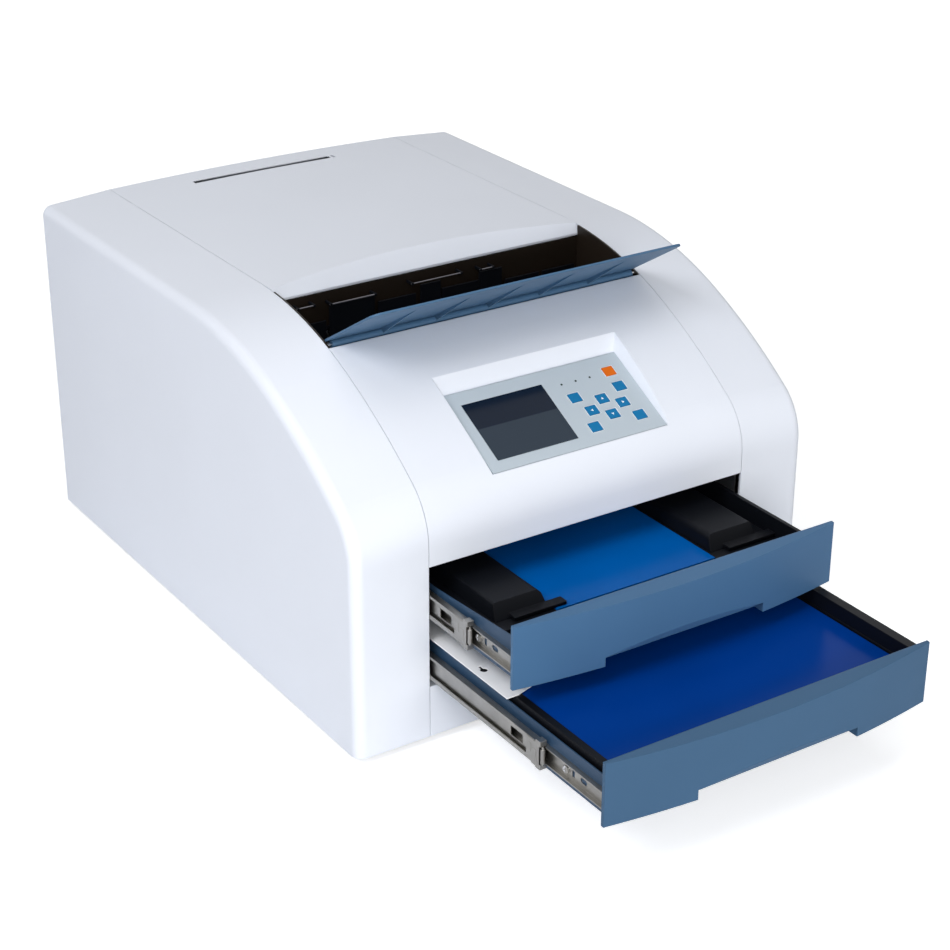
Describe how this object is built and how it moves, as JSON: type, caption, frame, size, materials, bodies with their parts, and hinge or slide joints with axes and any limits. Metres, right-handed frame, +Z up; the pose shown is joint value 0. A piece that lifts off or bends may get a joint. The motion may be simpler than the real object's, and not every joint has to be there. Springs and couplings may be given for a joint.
{
  "type": "x-ray dry film printer",
  "caption": "Desktop dry film printer for x-ray images, white casing, two blue-grey film drawers pulled out on ball-bearing slides, open film exit flap",
  "frame": {"origin": "centre of the footprint of the whole printer with its drawers as they stand, on the surface under the feet", "axes": "X across the printer to its right, Y from the front to the rear, Z up"},
  "size_m": [0.58, 1.0444, 0.4411],
  "materials": {
    "white_casing": "smooth moulded white with a slight sheen",
    "blue_grey": "blue-grey moulded plastic, satin",
    "blue_grey_steel": "blue-grey painted sheet steel",
    "bright_steel": "zinc-plated steel",
    "black_plastic": "black moulded plastic",
    "film_blue": "blue-based film sheets, satin",
    "white_plate": "light painted steel",
    "panel_grey": "pale grey panel overlay",
    "display_glass": "dark glossy display",
    "key_blue": "blue key top, satin",
    "key_orange": "orange key top, satin",
    "lamp_lens": "small clear lamp lens",
    "black_rubber": "black rubber",
    "green_board": "circuit board",
    "galvanised": "galvanised sheet steel"
  },
  "bodies": {
    "casing": {"left_side_cover": "white_casing", "right_side_cover": "white_casing", "top_cover": "white_casing", "front_cover": "white_casing", "lower_front_strip": "white_casing", "rear_panel": "galvanised", "base_plate": "galvanised", "rubber_feet": "black_rubber", "chassis_frame": "bright_steel", "exit_duct": "black_plastic", "exit_guide_plates": "black_plastic", "exit_guide_rods": "bright_steel", "flap_pins": "bright_steel", "control_panel_plate": "panel_grey", "lcd_screen": "display_glass", "indicator_lamps": "lamp_lens", "key_board": "green_board", "slide_cabinet_members": "bright_steel", "pickup_arms_and_shafts": "bright_steel", "platen_bushes": "black_plastic", "thermal_head": "bright_steel", "drive_motor": "black_plastic", "timing_belt": "black_rubber", "power_supply": "galvanised", "main_board": "green_board", "data_sockets": "bright_steel", "fan_frame": "black_plastic", "power_inlet": "black_plastic", "case_screws": "bright_steel"},
    "flap": {"exit_flap": "blue_grey"},
    "upper_drawer": {"upper_fascia": "blue_grey", "upper_tray": "blue_grey_steel", "upper_film_deck": "black_plastic", "upper_film_stack": "film_blue", "film_guide_blocks": "black_plastic", "upper_slide_drawer_members": "bright_steel"},
    "upper_slide_middles": {"upper_slide_middle_members": "bright_steel"},
    "lower_drawer": {"lower_fascia": "blue_grey", "lower_tray": "blue_grey_steel", "lower_film_cassette": "black_plastic", "lower_film_stack": "film_blue", "lower_film_hold_plate": "white_plate", "lower_slide_drawer_members": "bright_steel"},
    "lower_slide_middles": {"lower_slide_middle_members": "bright_steel"},
    "key_up_cap": {"key_up": "key_blue"},
    "key_down_cap": {"key_down": "key_blue"},
    "key_left_cap": {"key_left": "key_blue"},
    "key_right_cap": {"key_right": "key_blue"},
    "key_upper_left_cap": {"key_upper_left": "key_blue"},
    "key_upper_right_cap": {"key_upper_right": "key_blue"},
    "key_lower_left_cap": {"key_lower_left": "key_blue"},
    "key_lower_right_cap": {"key_lower_right": "key_blue"},
    "key_orange_cap": {"key_orange": "key_orange"},
    "upper_pickup": {"upper_pickup_roller": "black_rubber"},
    "lower_pickup": {"lower_pickup_roller": "black_rubber"},
    "platen": {"platen_roller": "black_rubber", "platen_pulley": "black_plastic"},
    "motor_shaft": {"motor_pulley": "bright_steel"},
    "fan": {"fan_rotor": "black_plastic"},
    "rocker": {"rocker_switch": "black_plastic"}
  },
  "joints": [
    {"name": "flap_hinge", "type": "hinge", "parent": "casing", "child": "flap", "pos_m": [0, -0.00555, 0.37783], "axis": [1, 0, 0], "range_deg": [-135.5, 0]},
    {"name": "upper_drawer_slide", "type": "slide", "parent": "casing", "child": "upper_drawer", "axis": [0, -1, 0], "range_m": [-0.1457, 0.23]},
    {"name": "upper_middle_slide", "type": "slide", "parent": "casing", "child": "upper_slide_middles", "axis": [0, -1, 0], "range_m": [-0.07722, 0.1219]},
    {"name": "lower_drawer_slide", "type": "slide", "parent": "casing", "child": "lower_drawer", "axis": [0, -1, 0], "range_m": [-0.2957, 0.08]},
    {"name": "lower_middle_slide", "type": "slide", "parent": "casing", "child": "lower_slide_middles", "axis": [0, -1, 0], "range_m": [-0.20256, 0.0548]},
    {"name": "key_up_press", "type": "slide", "parent": "casing", "child": "key_up_cap", "axis": [0, 0.4602, -0.8878], "range_m": [0, 0.0008], "stiffness_N_per_m": 2500, "springref_m": -0.0002},
    {"name": "key_down_press", "type": "slide", "parent": "casing", "child": "key_down_cap", "axis": [0, 0.4602, -0.8878], "range_m": [0, 0.0008], "stiffness_N_per_m": 2500, "springref_m": -0.0002},
    {"name": "key_left_press", "type": "slide", "parent": "casing", "child": "key_left_cap", "axis": [0, 0.4602, -0.8878], "range_m": [0, 0.0008], "stiffness_N_per_m": 2500, "springref_m": -0.0002},
    {"name": "key_right_press", "type": "slide", "parent": "casing", "child": "key_right_cap", "axis": [0, 0.4602, -0.8878], "range_m": [0, 0.0008], "stiffness_N_per_m": 2500, "springref_m": -0.0002},
    {"name": "key_upper_left_press", "type": "slide", "parent": "casing", "child": "key_upper_left_cap", "axis": [0, 0.4602, -0.8878], "range_m": [0, 0.0008], "stiffness_N_per_m": 2500, "springref_m": -0.0002},
    {"name": "key_upper_right_press", "type": "slide", "parent": "casing", "child": "key_upper_right_cap", "axis": [0, 0.4602, -0.8878], "range_m": [0, 0.0008], "stiffness_N_per_m": 2500, "springref_m": -0.0002},
    {"name": "key_lower_left_press", "type": "slide", "parent": "casing", "child": "key_lower_left_cap", "axis": [0, 0.4602, -0.8878], "range_m": [0, 0.0008], "stiffness_N_per_m": 2500, "springref_m": -0.0002},
    {"name": "key_lower_right_press", "type": "slide", "parent": "casing", "child": "key_lower_right_cap", "axis": [0, 0.4602, -0.8878], "range_m": [0, 0.0008], "stiffness_N_per_m": 2500, "springref_m": -0.0002},
    {"name": "key_orange_press", "type": "slide", "parent": "casing", "child": "key_orange_cap", "axis": [0, 0.4602, -0.8878], "range_m": [0, 0.0008], "stiffness_N_per_m": 2500, "springref_m": -0.0002},
    {"name": "upper_pickup_turn", "type": "hinge", "parent": "casing", "child": "upper_pickup", "pos_m": [0, 0.09425, 0.1759], "axis": [1, 0, 0], "continuous": true},
    {"name": "lower_pickup_turn", "type": "hinge", "parent": "casing", "child": "lower_pickup", "pos_m": [0, 0.23025, 0.1266], "axis": [1, 0, 0], "continuous": true},
    {"name": "platen_turn", "type": "hinge", "parent": "casing", "child": "platen", "pos_m": [0, 0.36925, 0.308], "axis": [1, 0, 0], "continuous": true},
    {"name": "motor_turn", "type": "hinge", "parent": "casing", "child": "motor_shaft", "pos_m": [-0.214, 0.29425, 0.233], "axis": [1, 0, 0], "continuous": true},
    {"name": "fan_turn", "type": "hinge", "parent": "casing", "child": "fan", "pos_m": [-0.11, 0.50425, 0.308], "axis": [0, 1, 0], "continuous": true},
    {"name": "rocker_tilt", "type": "hinge", "parent": "casing", "child": "rocker", "pos_m": [0.196, 0.51485, 0.053], "axis": [1, 0, 0], "range_deg": [-18, 0]}
  ],
  "couplings": [
    {"joint": "upper_middle_slide", "follows": "upper_drawer_slide", "ratio": 0.53},
    {"joint": "lower_middle_slide", "follows": "lower_drawer_slide", "ratio": 0.685},
    {"joint": "platen_turn", "follows": "motor_turn", "ratio": 0.5}
  ]
}
